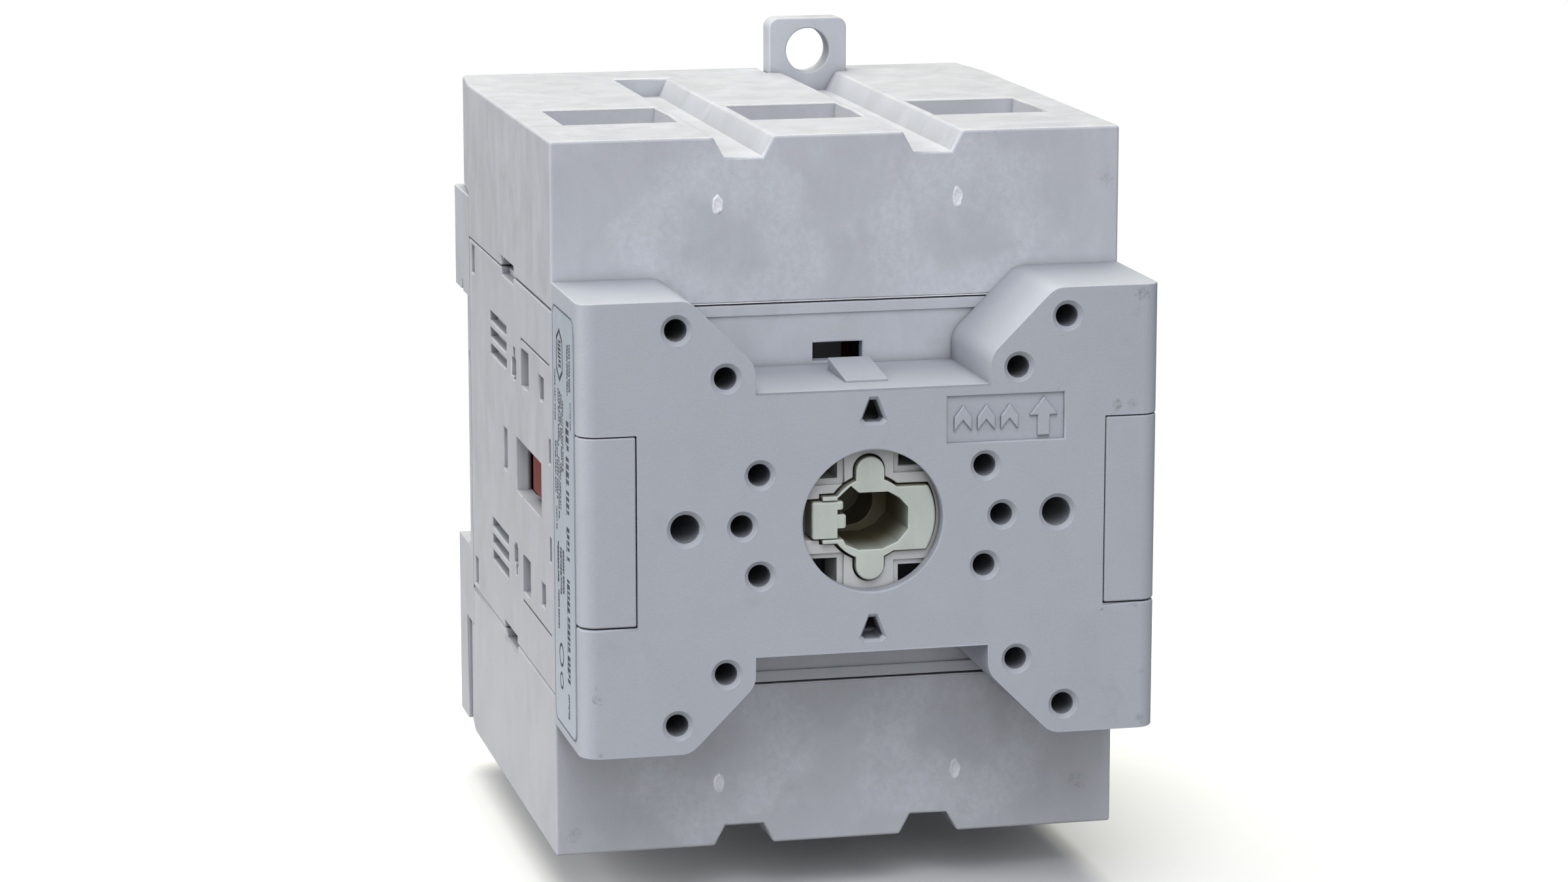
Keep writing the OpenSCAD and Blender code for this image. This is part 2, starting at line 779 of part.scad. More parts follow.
// shroud drawn as the upper one; s is -1 for the lower
module shroud(s) {
    rear = s > 0 ? 90.5 : channel_floor;
    inner = half_w - shroud_wall;
    mouth = entry_w / 2 + 1.1;
    groove_end = s > 0 ? ear_front - 0.1 : rear + 1;
    color("#b3b4bd") scale([1, 1, s]) difference() {
        slab(-half_w, half_w, front_d, rear, joint_z + joint_gap, half_h);
        difference() {
            slab(-inner, inner, front_d + shroud_wall, rear - shroud_wall, joint_z - 1, half_h - shroud_wall);
            for (t = sides)
                slab(t * ear_x - groove_top / 2 - 1.4, t * ear_x + groove_top / 2 + 1.4, front_d, rear,
                    half_h - groove_depth - 1.6, half_h);
            for (x = pole_x)
                slab(x - mouth, x + mouth, entry_front - 1.1, entry_front + entry_l + 1.1, 40.6, half_h);
        }
        for (x = pole_x)
            entry(x);
        for (t = sides)
            front_profile(front_d - 1, t == s ? groove_end : 81.5)
                polygon([
                    [t * ear_x - groove_top / 2 - 0.6, half_h + 1], [t * ear_x - groove_top / 2, half_h],
                    [t * ear_x - groove_floor / 2, half_h - groove_depth],
                    [t * ear_x + groove_floor / 2, half_h - groove_depth],
                    [t * ear_x + groove_top / 2, half_h], [t * ear_x + groove_top / 2 + 0.6, half_h + 1]
                ]);
        // way out for the ear
        slab(s * ear_x - ear_w / 2 - 0.2, s * ear_x + ear_w / 2 + 0.2, ear_front - 0.2, depth, joint_z - 1, 60);
        slab(-half_w - 1, half_w + 1, casing_rear - 0.1, depth + 1, joint_z - 1, top_foot_high + 0.2);
        slab(-half_w - 1, half_w + 1, 45, 54.5, joint_z - 1, joint_z + 1.3);
        rear_taper(joint_z - 1, half_h + 1);
    }
}

// ---------- rear base ----------

module ear(s) {
    root = 28;
    corner = 1.4;
    // the ear is drawn as the upper one
    scale([1, 1, s]) difference() {
        front_profile(ear_front, ear_front + ear_t)
            translate([s * ear_x, (root + ear_top) / 2]) round_rect(ear_w, ear_top - root, corner);
        rod(s * ear_x, ear_hole_z, ear_hole_d / 2, ear_front - 1, ear_front + ear_t + 1);
    }
}

// rows of hollows that leave ribs in a foot
module foot_hollows(z0, z1, d0, columns) {
    rib = 1.6;
    step = (body_w - rib) / columns;
    for (i = [0:columns - 1])
        slab(-half_w + rib + i * step, -half_w + (i + 1) * step, d0, depth + 1, z0 + rib, z1 - rib);
}

module rear_base() {
    latch_half = 6.2;
    lip_half = 4.6;
    color("#aeb1b7") {
        difference() {
            union() {
                difference() {
                    slab(-half_w, half_w, casing_rear + 0.05, channel_floor, -joint_z, joint_z);
                    rear_taper(-joint_z, joint_z);
                }
                slab(-half_w, half_w, casing_rear + 0.05, depth, rail_top, top_foot_high);
                slab(-half_w, half_w, casing_rear + 0.05, depth, -top_foot_high, rail_low);
                slab(-half_w, half_w, channel_floor + 0.1, depth, low_foot_low, rail_low);
            }
            // groove for the rail's upper edge
            slab(-half_w - 1, half_w + 1, channel_floor, channel_floor + 1.6, rail_top - 1, rail_top + 1.4);
            foot_hollows(rail_top + 1.8, top_foot_high, 87.8, 6);
            difference() {
                foot_hollows(low_foot_low, rail_low - 1.2, 87.8, 6);
                slab(-latch_half - 1.6, latch_half + 1.6, 80, depth + 2, low_foot_low - 1, rail_low + 1);
            }
            // way for the rail catch, narrower at the rear
            slab(-latch_half, latch_half, 87.5, 90.7, low_foot_low - 1, rail_low + 1);
            slab(-lip_half, lip_half, 90, depth + 1, low_foot_low - 1, rail_low + 1);
            for (s = sides, t = sides) {
                rod(s * ear_x, t * screw_z, screw_r + 0.2, casing_rear - 1, depth);
                rod(s * ear_x, t * screw_z, 3.5, 83.4, depth);
            }
            // small notches at the edge of the rear band
            for (s = sides, t = sides)
                slab(s > 0 ? half_w - 1.6 : -half_w - 1, s > 0 ? half_w + 1 : 1.6 - half_w, 82, 85,
                    t * 6.15 - 1.65, t * 6.15 + 1.65);
        }
        // post that the catch's spring pushes on
        slab(-2.4, 2.4, 87.4, 90.5, -40, -38);
        for (s = sides)
            ear(s);
    }
}

module base_screws() {
    head_r = 3.2;
    slot = 0.5;
    color("#c2c4c6")
        for (s = sides, t = sides)
            difference() {
                union() {
                    rod(s * ear_x, t * screw_z, screw_r, 69, 84);
                    rod(s * ear_x, t * screw_z, head_r, 83.5, 85.6);
                }
                slab(s * ear_x - 2, s * ear_x + 2, 84.6, 90, t * screw_z - slot, t * screw_z + slot);
                slab(s * ear_x - slot, s * ear_x + slot, 84.6, 90, t * screw_z - 2, t * screw_z + 2);
            }
}

module rail_latch() {
    half = 6.05;
    front = 87.6;
    rear = 90.6;
    tail = -50;
    color("#9fa3a8") difference() {
        union() {
            slab(-half, half, front, rear, tail, rail_low - 0.1);
            side_profile(-half, half)
                polygon([
                    [front, rail_low - 0.2], [rear, rail_low - 0.2],
                    [rear, rail_low + 0.4], [front + 0.6, -16.3], [front, -16.3]
                ]);
        }
        slab(-2.6, 2.6, front - 1, rear + 1, -40.1, -27);
        slab(-3.5, 3.5, front - 1, rear + 1, tail + 1.2, tail + 2.9);
    }
}

module latch_spring() {
    turns = 7;
    color("silver") translate([0, 89.1, -38]) coil(1.05, 0.5, 10.98, turns);
}

// ---------- assembly ----------

front_plate();
side_insert(-1);  // side_insert_left
side_insert(1);  // side_insert_right
rating_label();
drive_hub();
shaft_clip();
rotor_disc();
snap_spring();
pinion();
contact_slide();
moving_bridges();
tips(bar_x + bar_t);  // bridge_tips
contact_springs();
fixed_contacts(1);  // line_contacts
fixed_contacts(-1);  // load_contacts
tips(flange_x - tip_t);  // fixed_tips
terminal_cages();
clamp_screw(0);  // clamp_screw_1
clamp_screw(1);  // clamp_screw_2
clamp_screw(2);  // clamp_screw_3
clamp_screw(3);  // clamp_screw_4
clamp_screw(4);  // clamp_screw_5
clamp_screw(5);  // clamp_screw_6
pressure_plate(0);  // pressure_plate_1
pressure_plate(1);  // pressure_plate_2
pressure_plate(2);  // pressure_plate_3
pressure_plate(3);  // pressure_plate_4
pressure_plate(4);  // pressure_plate_5
pressure_plate(5);  // pressure_plate_6
housing_body();
shroud(1);  // shroud_top
shroud(-1);  // shroud_bottom
rear_base();
base_screws();
rail_latch();
latch_spring();
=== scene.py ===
import json
import math
import random

import bmesh
import bpy
import numpy as np
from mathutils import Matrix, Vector, noise

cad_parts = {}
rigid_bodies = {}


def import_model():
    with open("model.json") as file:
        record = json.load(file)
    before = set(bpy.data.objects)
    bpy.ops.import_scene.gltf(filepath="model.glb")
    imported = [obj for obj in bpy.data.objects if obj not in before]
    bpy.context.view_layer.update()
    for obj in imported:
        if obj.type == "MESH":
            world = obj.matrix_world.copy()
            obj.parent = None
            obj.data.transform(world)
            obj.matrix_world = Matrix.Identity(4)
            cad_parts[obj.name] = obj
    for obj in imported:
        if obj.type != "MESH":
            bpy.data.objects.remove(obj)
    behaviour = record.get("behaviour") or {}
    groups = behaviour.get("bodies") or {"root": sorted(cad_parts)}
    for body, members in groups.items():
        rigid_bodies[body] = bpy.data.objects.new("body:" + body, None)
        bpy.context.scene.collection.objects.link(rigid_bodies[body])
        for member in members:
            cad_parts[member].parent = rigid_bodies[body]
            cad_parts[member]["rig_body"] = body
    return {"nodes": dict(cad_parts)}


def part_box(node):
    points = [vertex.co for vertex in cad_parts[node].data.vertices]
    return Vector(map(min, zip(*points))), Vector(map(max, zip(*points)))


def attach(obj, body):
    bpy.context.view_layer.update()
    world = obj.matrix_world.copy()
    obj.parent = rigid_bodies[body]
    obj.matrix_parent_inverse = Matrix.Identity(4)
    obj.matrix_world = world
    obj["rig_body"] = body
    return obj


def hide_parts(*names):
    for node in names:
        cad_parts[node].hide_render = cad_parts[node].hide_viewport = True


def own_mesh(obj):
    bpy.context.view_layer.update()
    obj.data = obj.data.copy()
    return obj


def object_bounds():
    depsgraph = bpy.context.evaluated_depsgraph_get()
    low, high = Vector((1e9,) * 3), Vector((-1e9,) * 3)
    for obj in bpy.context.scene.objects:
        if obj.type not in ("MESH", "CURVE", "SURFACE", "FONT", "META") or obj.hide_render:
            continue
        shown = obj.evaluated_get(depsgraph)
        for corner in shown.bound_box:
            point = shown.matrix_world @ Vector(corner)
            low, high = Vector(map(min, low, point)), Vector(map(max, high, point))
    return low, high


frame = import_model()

cad_low, cad_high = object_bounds()
NODES = frame["nodes"]
MM = 0.001  # shapes are given in millimetres, the scene is in metres
RNG = random.Random(7)


# ---------------------------------------------------------------- shader helpers


class Shader:
    """A material whose nodes are added one by one. Lengths in it are millimetres."""

    def __init__(self, name):
        self.material = bpy.data.materials.new(name)
        self.material.use_nodes = True
        self.tree = self.material.node_tree
        self.tree.nodes.clear()
        coords = self.add("TexCoord").outputs["Object"]
        scaled = self.add("VectorMath", {0: coords, "Scale": 1 / MM}, operation="SCALE")
        self.place = scaled.outputs[0]
        self.jitter = None

    def add(self, kind, inputs=None, **settings):
        node = self.tree.nodes.new("ShaderNode" + kind)
        for key, value in settings.items():
            setattr(node, key, value)
        for key, value in (inputs or {}).items():
            if isinstance(value, bpy.types.NodeSocket):
                self.tree.links.new(value, node.inputs[key])
            else:
                node.inputs[key].default_value = value
        return node

    def math(self, operation, a, b):
        return self.add("Math", {0: a, 1: b}, operation=operation).outputs[0]

    def stretch(self, factors, offset=(0, 0, 0)):
        node = self.add("Mapping", {"Vector": self.place, "Scale": factors, "Location": offset})
        return node.outputs[0]

    def noise(self, scale, detail=2.0, rough=0.5, distort=0.0, vector=None):
        node = self.add(
            "TexNoise",
            {
                "Vector": vector or self.place,
                "Scale": scale,
                "Detail": detail,
                "Roughness": rough,
                "Distortion": distort,
            },
        )
        return node.outputs["Fac"]

    def ramp(self, value, low, high, to_low=0.0, to_high=1.0):
        node = self.add(
            "MapRange",
            {"Value": value, "From Min": low, "From Max": high, "To Min": to_low, "To Max": to_high},
        )
        return node.outputs["Result"]

    def mix(self, factor, a, b):
        node = self.add("Mix", {0: factor}, data_type="RGBA")
        for socket, value in ((6, a), (7, b)):
            if isinstance(value, bpy.types.NodeSocket):
                self.tree.links.new(value, node.inputs[socket])
            else:
                node.inputs[socket].default_value = rgba(value)
        return node.outputs[2]

    def scaled_colour(self, colour, factor):
        node = self.add("VectorMath", {0: colour, "Scale": factor}, operation="SCALE")
        return node.outputs[0]

    def edge(self, radius):
        """1 on sharp edges, 0 on flat faces."""
        soft = self.add("Bevel", {"Radius": radius * MM}, samples=4).outputs[0]
        flat = self.add("NewGeometry").outputs["Normal"]
        dot = self.add("VectorMath", {0: soft, 1: flat}, operation="DOT_PRODUCT").outputs["Value"]
        return self.ramp(dot, 0.99, 0.8)

    def spot(self, centre, radius, wobble):
        """1 at the centre of an uneven mark, 0 outside it."""
        if self.jitter is None:
            look = {"Vector": self.place, "Scale": 1.1, "Detail": 4.0, "Roughness": 0.7}
            rough = self.add("TexNoise", look)
            middle = {0: rough.outputs["Color"], 1: (0.5, 0.5, 0.5)}
            self.jitter = self.add("VectorMath", middle, operation="SUBTRACT").outputs[0]
        moved = self.add("VectorMath", {0: self.jitter, "Scale": wobble}, operation="SCALE").outputs[0]
        at = self.add("VectorMath", {0: self.place, 1: moved}, operation="ADD").outputs[0]
        away = self.add("VectorMath", {0: at, 1: centre}, operation="DISTANCE").outputs["Value"]
        return self.ramp(away, radius, radius * 0.3)

    def crevice_shade(self, reach, start=0.42, end=0.06):
        """Mask for painted shade: 1 far inside narrow holes and gaps, 0 in the open."""
        open_sky = self.add("AmbientOcclusion", {"Distance": reach * MM}, samples=3).outputs["AO"]
        return self.ramp(open_sky, start, end)

    def gate_clouds(self):
        """Pale clouds round the two gates of a shroud's front, darker close below them."""
        wander = 16.0
        gate = (15.1, 18.0, 32.0)
        look = {"Vector": self.place, "Scale": 0.16, "Detail": 5.0, "Roughness": 0.62}
        jitter = self.add("TexNoise", look).outputs["Color"]
        spread = self.add("VectorMath", {0: jitter, "Scale": wander}, operation="SCALE").outputs[0]
        moved = self.add("VectorMath", {0: self.place, 1: spread}, operation="ADD").outputs[0]
        middle = {0: moved, 1: (wander / 2, wander / 2, wander / 2)}
        centred = self.add("VectorMath", middle, operation="SUBTRACT").outputs[0]
        folded = self.add("VectorMath", {0: centred}, operation="ABSOLUTE").outputs[0]
        away = self.add("VectorMath", {0: folded, 1: gate}, operation="DISTANCE").outputs["Value"]
        ring = self.math("MULTIPLY", self.ramp(away, 4.0, 7.0), self.ramp(away, 13.0, 10.5))
        speckle = self.ramp(self.noise(1.1, 4.0, 0.75), 0.38, 0.62, 0.35, 1.5)
        ring = self.math("MULTIPLY", ring, speckle)
        dark = self.ramp(away, 5.5, 1.0)
        return self.math("SUBTRACT", ring, self.math("MULTIPLY", dark, 0.8))

    def finish(self, colour, roughness, bump=None, **extra):
        inputs = {"Base Color": colour, "Roughness": roughness}
        if bump is not None:
            inputs["Normal"] = bump
        inputs.update(extra)
        shader = self.add("BsdfPrincipled", inputs)
        self.add("OutputMaterial", {"Surface": shader.outputs[0]})
        return self.material

    def bump(self, height, depth, under=None):
        inputs = {"Height": height, "Strength": 1.0, "Distance": depth * MM}
        if under is not None:
            inputs["Normal"] = under
        return self.add("Bump", inputs).outputs[0]


def rgba(colour):
    return (*colour, 1.0) if len(colour) == 3 else tuple(colour)


def srgb(r, g, b):
    """A colour as seen on screen, turned into the linear values that a shader takes."""
    return tuple(((c / 255 + 0.055) / 1.055) ** 2.4 if c > 10 else c / 255 / 12.92 for c in (r, g, b))


def plastic(
    name, colour, rough=0.48, grain=0.012, grain_scale=4.0, flow=0.05, mottle=0.03, edge=0.12,
    marks=(), stain=(0.16, 0.15, 0.13), speck=0.35, subsurface=0.0, gates=0.0,
    shade_colour=(0.02, 0.018, 0.016), depth=2.5, shade=(0.42, 0.06), depth_shade_span=None,
):
    """Moulded plastic: flow streaks, fine grain, painted highlights on sharp edges, marks and specks of
    dirt.

    Painted shade: holes and gaps within a depth turn to the shade colour, and with a depth shade span
    everything behind a plane does too.
    """
    s = Shader(name)
    clouds = s.noise(0.055, 3.0, 0.55)
    streaks = s.noise(0.2, 4.0, 0.6, 0.9, s.stretch((1.0, 1.0, 0.55)))
    fine = s.noise(grain_scale, 2.0, 0.6)
    level = s.ramp(clouds, 0.3, 0.7, 1 - mottle, 1 + mottle)
    level = s.math("ADD", level, s.ramp(streaks, 0.35, 0.65, -flow, flow))
    level = s.math("ADD", level, s.ramp(fine, 0.25, 0.75, -0.025, 0.025))
    if gates:
        level = s.math("ADD", level, s.math("MULTIPLY", s.gate_clouds(), gates))
    body = s.scaled_colour(colour, level)
    # painted highlight: sharp edges lightened unevenly towards a paler colour
    rim = s.math("MULTIPLY", s.edge(0.3), s.ramp(s.noise(0.5, 3.0), 0.3, 0.65, 0.3, 1.0))
    light = tuple(min(1.0, c * 1.45 + 0.05) for c in colour)
    body = s.mix(s.math("MULTIPLY", rim, edge), body, light)
    grime = s.ramp(s.noise(0.11, 5.0, 0.6, 0.5, s.stretch((1, 1, 1), (31, 7, 3))), 0.62, 0.8, 0.0, 0.16)
    broken = s.ramp(s.noise(1.8, 4.0, 0.7), 0.42, 0.6) if marks else None
    for centre, radius, strength in marks:
        mark = s.math("MULTIPLY", s.spot(centre, radius, radius * 2.6), strength)
        grime = s.math("MAXIMUM", grime, s.math("MULTIPLY", mark, broken))
    cells = s.add("TexVoronoi", {"Vector": s.place, "Scale": 0.3, "Randomness": 1.0})
    rare = s.math("GREATER_THAN", s.add("SeparateColor", {0: cells.outputs["Color"]}).outputs[0], 0.8)
    dot = s.math("MULTIPLY", s.math("LESS_THAN", cells.outputs["Distance"], 0.035), rare)
    grime = s.math("MAXIMUM", grime, s.math("MULTIPLY", dot, speck))
    body = s.mix(grime, body, stain)
    # painted shade: holes and gaps darken towards the shade colour, by ambient occlusion
    body = s.mix(s.math("MULTIPLY", s.crevice_shade(depth, *shade), 0.9), body, shade_colour)
    # painted shade: the farther behind a plane, the closer to the shade colour
    if depth_shade_span:
        behind = s.add("SeparateXYZ", {0: s.place}).outputs["Y"]
        body = s.mix(s.ramp(behind, depth_shade_span[0], depth_shade_span[1], 0.0, 0.93), body, shade_colour)
    roughness = s.ramp(streaks, 0.3, 0.7, rough - 0.06, rough + 0.06)
    roughness = s.math("ADD", roughness, s.math("MULTIPLY", grime, 0.15))
    bump = s.bump(s.noise(0.16, 3.0, 0.5), 0.05)
    bump = s.bump(fine, grain, bump)
    extra = {"Specular IOR Level": 0.45}
    if subsurface:
        extra["Subsurface Weight"] = subsurface
        extra["Subsurface Radius"] = (1.0, 0.9, 0.7)
        extra["Subsurface Scale"] = 1.5 * MM
    return s.finish(body, roughness, bump, **extra)


def metal(name, colour, rough=0.35, tarnish=(0.2, 0.17, 0.13), amount=0.35):
    """Drawn or stamped metal with faint lines and patches of tarnish."""
    s = Shader(name)
    clouds = s.noise(0.25, 4.0, 0.6)
    brushed = s.noise(1.2, 3.0, 0.6, 0.0, s.stretch((1.0, 6.0, 1.0)))
    body = s.scaled_colour(colour, s.ramp(brushed, 0.3, 0.7, 0.92, 1.06))
    body = s.mix(s.ramp(clouds, 0.52, 0.78, 0.0, amount), body, tarnish)
    # painted highlight along sharp edges, then painted near-black shade in crevices
    body = s.mix(s.math("MULTIPLY", s.edge(0.2), 0.2), body, tuple(min(1.0, c * 1.3) for c in colour))
    body = s.mix(s.math("MULTIPLY", s.crevice_shade(6.0, 0.6, 0.1), 0.9), body, (0.012, 0.01, 0.009))
    roughness = s.ramp(clouds, 0.3, 0.7, rough - 0.08, rough + 0.14)
    return s.finish(body, roughness, s.bump(brushed, 0.004), Metallic=1.0)


# ---------------------------------------------------------------- materials

# dirt marks: centre, radius and strength
PLATE_MARKS = (
    ((33.2, 0.0, 26.5), 1.1, 0.5),
    ((32.7, 0.0, 24.2), 0.8, 0.25),
    ((30.3, 0.0, 12.9), 0.9, 0.7),
    ((32.3, 0.0, 12.9), 0.9, 0.35),
    ((-33.8, 0.0, -20.3), 0.8, 0.6),
    ((-33.9, 0.0, -18.8), 0.6, 0.4),
    ((-33.4, 0.0, -27.0), 0.5, 0.4),
    ((33.8, 0.0, -26.3), 0.8, 0.5),
    ((33.9, 0.0, -20.5), 0.6, 0.25),
    ((28.7, 0.0, -12.4), 0.26, 1.0),
    ((32.9, 0.0, -11.9), 0.6, 0.25),
    ((-29.6, 0.0, -10.4), 0.5, 0.3),
)
SHROUD_MARKS = (
    ((34.0, 18.0, 38.0), 1.3, 0.35),
    ((31.0, 18.0, -39.0), 1.6, 0.3),
    ((-33.5, 18.0, -42.0), 1.4, 0.3),
)

# one material for every slot of the record
# in each, the shade colour is painted into holes and gaps as shade, and edge sets the painted highlight
# on sharp edges
M = {
    "front_grey": plastic(
        "front_grey", srgb(170, 174, 182),
        rough=0.55, grain=0.03, grain_scale=3.2, flow=0.012, mottle=0.015, edge=0.16,
        marks=PLATE_MARKS, depth=4.0, shade=(0.5, 0.12),
    ),
    "casing_grey": plastic(
        "casing_grey", srgb(178, 180, 186),
        rough=0.5, grain=0.012, grain_scale=4.0, flow=0.04, mottle=0.03, edge=0.2,
        shade_colour=(0.1, 0.105, 0.125), depth=3.0, shade=(0.5, 0.1),
    ),
    "shroud_grey": plastic(
        "shroud_grey", srgb(180, 182, 188),
        rough=0.46, grain=0.016, grain_scale=3.0, flow=0.04, mottle=0.03, edge=0.3,
        marks=SHROUD_MARKS, gates=0.09,
    ),
    "milky_plastic": plastic(
        "milky_plastic", srgb(190, 196, 188),
        rough=0.36, grain=0.01, grain_scale=3.0, flow=0.05, mottle=0.04, edge=0.6,
        # olive painted shade in gaps, and painted shade that darkens the bore towards its back
        stain=(0.3, 0.26, 0.17), speck=0.2, subsurface=0.3, shade_colour=(0.095, 0.075, 0.028), depth=9.0,
        shade=(0.5, 0.1), depth_shade_span=(1.9, 8.5),
    ),
    "mechanism_grey": plastic(
        "mechanism_grey", srgb(190, 191, 190),
        rough=0.42, grain=0.008, grain_scale=3.0, flow=0.03, mottle=0.03, edge=0.2,
        shade_colour=(0.07, 0.055, 0.035), depth=1.0,
    ),
    "latch_grey": plastic(
        "latch_grey", srgb(165, 169, 176),
        rough=0.5, grain=0.014, grain_scale=3.0, flow=0.03, mottle=0.03, edge=0.2,
    ),
    "gear_brown": plastic(
        "gear_brown", srgb(92, 80, 66),
        rough=0.5, grain=0.01, grain_scale=3.0, flow=0.05, mottle=0.05, edge=0.1,
    ),
    "slide_red": plastic(
        "slide_red", srgb(110, 42, 37),
        rough=0.6, grain=0.05, grain_scale=2.0, flow=0.12, mottle=0.06, edge=0.25,
        stain=(0.05, 0.02, 0.02),
    ),
    "label_blue": plastic(
        "label_blue", srgb(170, 178, 188),
        rough=0.4, grain=0.003, grain_scale=1.5, flow=0.02, mottle=0.02, edge=0.05,
    ),
    "copper": metal("copper", srgb(205, 140, 100)),
    "silver": metal("silver", srgb(222, 222, 218), rough=0.3, tarnish=(0.35, 0.33, 0.28), amount=0.3),
    "steel": metal("steel", srgb(196, 198, 200), rough=0.36, tarnish=(0.3, 0.28, 0.24), amount=0.35),
    "spring_steel": metal(
        "spring_steel", srgb(188, 190, 194), rough=0.28, tarnish=(0.25, 0.22, 0.18), amount=0.25
    ),
}

# material of every CAD node
SLOTS = {
    "front_plate": "front_grey", "side_insert_left": "front_grey", "side_insert_right": "front_grey",
    "rating_label": "label_blue", "drive_hub": "milky_plastic", "shaft_clip": "milky_plastic",
    "rotor_disc": "mechanism_grey", "snap_spring": "spring_steel", "pinion": "gear_brown",
    "contact_slide": "slide_red", "moving_bridges": "copper", "bridge_tips": "silver",
    "contact_springs": "spring_steel", "line_contacts": "copper", "load_contacts": "copper",
    "fixed_tips": "silver", "terminal_cages": "steel", "housing_body": "casing_grey",
    "shroud_top": "shroud_grey", "shroud_bottom": "shroud_grey", "rear_base": "casing_grey",
    "base_screws": "steel", "rail_latch": "latch_grey", "latch_spring": "spring_steel",
}
for i in range(1, 7):
    SLOTS[f"clamp_screw_{i}"] = "steel"
    SLOTS[f"pressure_plate_{i}"] = "steel"


# ---------------------------------------------------------------- moulded copies of the CAD nodes

WELD = 2e-6  # points closer than this are one point
PITCH = 23.75  # from one pole to the next, in millimetres
SHARP = math.radians(25)  # edges that turn more than this are rounded
ROOM = 0.42  # share of the free width beside an edge that its rounding may take
FINEST = 0.03 * MM  # narrower roundings are left out
SEGMENTS = 3
SPECK = 1e-9  # area of faces too small to matter
SETTLING = 7  # rounds of narrowing where a rounding has folded a face
EASING = 0.55  # how much narrower it gets each round
STEP = 0.4  # how fast the rounding may change along a bent edge
SWEEPS = 80  # most passes over the links between such edges


def flat_regions(bm):
    """Groups of touching faces that lie in one plane."""
    seen = set()
    for first in bm.faces:
        if first in seen:
            continue
        seen.add(first)
        stack, group = [first], []
        while stack:
            face = stack.pop()
            group.append(face)
            for e in face.edges:
                for other in e.link_faces:
                    if other not in seen and other.normal.dot(first.normal) > 0.9999:
                        seen.add(other)
                        stack.append(other)
        yield group


def outline_boxes(group):
    """The box of every closed outline round a flat region, the widest one last."""
    inside = set(group)
    border = [e for f in group for e in f.edges if sum(g in inside for g in e.link_faces) == 1]
    left, boxes = set(border), []
    for first in border:  # in the mesh's own order, so that every run gives the same result
        if first not in left:
            continue
        left.remove(first)
        stack, points = [first], []
        while stack:
            e = stack.pop()
            for v in e.verts:
                points.append(v.co)
                for other in v.link_edges:
                    if other in left:
                        left.remove(other)
                        stack.append(other)
        boxes.append([Vector(map(pick, zip(*points))) for pick in (min, max)])
    return sorted(boxes, key=lambda b: (b[0] - b[1]).length)


def cuts_through(holes, outer, axis):
    """Where straight cuts across an axis open every hole, and how close they pass to an outline's end."""
    places = []
    for low, high in holes:
        middle, reach = (low[axis] + high[axis]) / 2, (high[axis] - low[axis]) / 4
        if not any(abs(p - middle) < reach for p in places):
            places.append(middle)
    ends = [b[i][axis] for b in holes + [outer] for i in (0, 1)]
    return min(abs(p - e) for p in places for e in ends), places


def open_holes(bm):
    """Cuts flat faces straight through their holes, so that no thin slivers are left between them."""
    for group in list(flat_regions(bm)):
        boxes = outline_boxes(group)
        if len(boxes) < 2:
            continue
        holes, outer = boxes[:-1], boxes[-1]
        normal = group[0].normal
        axes = [a for a in range(3) if abs(normal[a]) < 0.5]
        _, places, axis = max(cuts_through(holes, outer, a) + (a,) for a in axes)
        direction = Vector([float(a == axis) for a in range(3)])
        faces = group
        for place in places:
            geometry = dict.fromkeys(faces)
            for f in faces:
                geometry.update(dict.fromkeys((*f.edges, *f.verts)))
            result = bmesh.ops.bisect_plane(
                bm, geom=list(geometry), dist=2 * WELD, plane_co=direction * place, plane_no=direction
            )
            faces = [g for g in result["geom"] if isinstance(g, bmesh.types.BMFace)]
            for g in result["geom_cut"]:
                if isinstance(g, bmesh.types.BMEdge):
                    g.seam = True


def face_room(edge, face, cache):
    """How far a face reaches away from one of its edges before it meets another edge."""
    if face not in cache:
        cache[face] = np.array([v.co for v in face.verts])
    points = cache[face]
    start, end = np.array(edge.verts[0].co), np.array(edge.verts[1].co)
    length = np.linalg.norm(end - start)
    along = (end - start) / length
    inward = np.cross(np.array(face.normal), along)
    local = points - start
    t, r = local @ along, local @ inward
    loop = next(k for k in face.loops if k.edge is edge)
    if loop.vert is not edge.verts[0]:
        r = -r
    touching = np.array([v in edge.verts for v in face.verts])
    t2, r2 = np.roll(t, -1), np.roll(r, -1)
    low, high = 0.02 * length, 0.98 * length
    span = np.where(np.abs(t2 - t) < 1e-12, 1e-12, t2 - t)
    a, b = np.clip((low - t) / span, 0, 1), np.clip((high - t) / span, 0, 1)
    use = ~(touching | np.roll(touching, -1)) & (np.maximum(t, t2) > low) & (np.minimum(t, t2) < high)
    near = np.minimum(r + a * (r2 - r), r + b * (r2 - r))
    near = near[use & (near > 1e-7)]
    return near.min() if len(near) else 1.0


def weights_used(piece):
    """For every edge, whether the bevel rounds it now."""
    weight = piece.data.attributes["bevel_weight_edge"].data
    values = np.zeros(len(weight), dtype=np.float32)
    weight.foreach_get("value", values)
    return values > 0


def even(piece, widths, links):
    """Keeps the rounding of edges that run on into each other alike and hands it to the bevel."""
    for _ in range(SWEEPS):
        before = widths.sum()
        for i, j, step in links:
            widths[i] = min(widths[i], widths[j] + step)
            widths[j] = min(widths[j], widths[i] + step)
        if widths.sum() > before - 1e-9:
            break
    was = weights_used(piece) | (widths > 0)
    widths[widths < FINEST] = 0.0
    mesh, widest = piece.data, piece.modifiers["edges"].width
    weight = mesh.attributes["bevel_weight_edge"].data
    for i in np.nonzero(was)[0]:
        weight[i].value = widths[i] / widest
        mesh.edges[i].use_edge_sharp = bool(widths[i] == 0)
    mesh.update_tag()
    piece.update_tag(refresh={"DATA"})


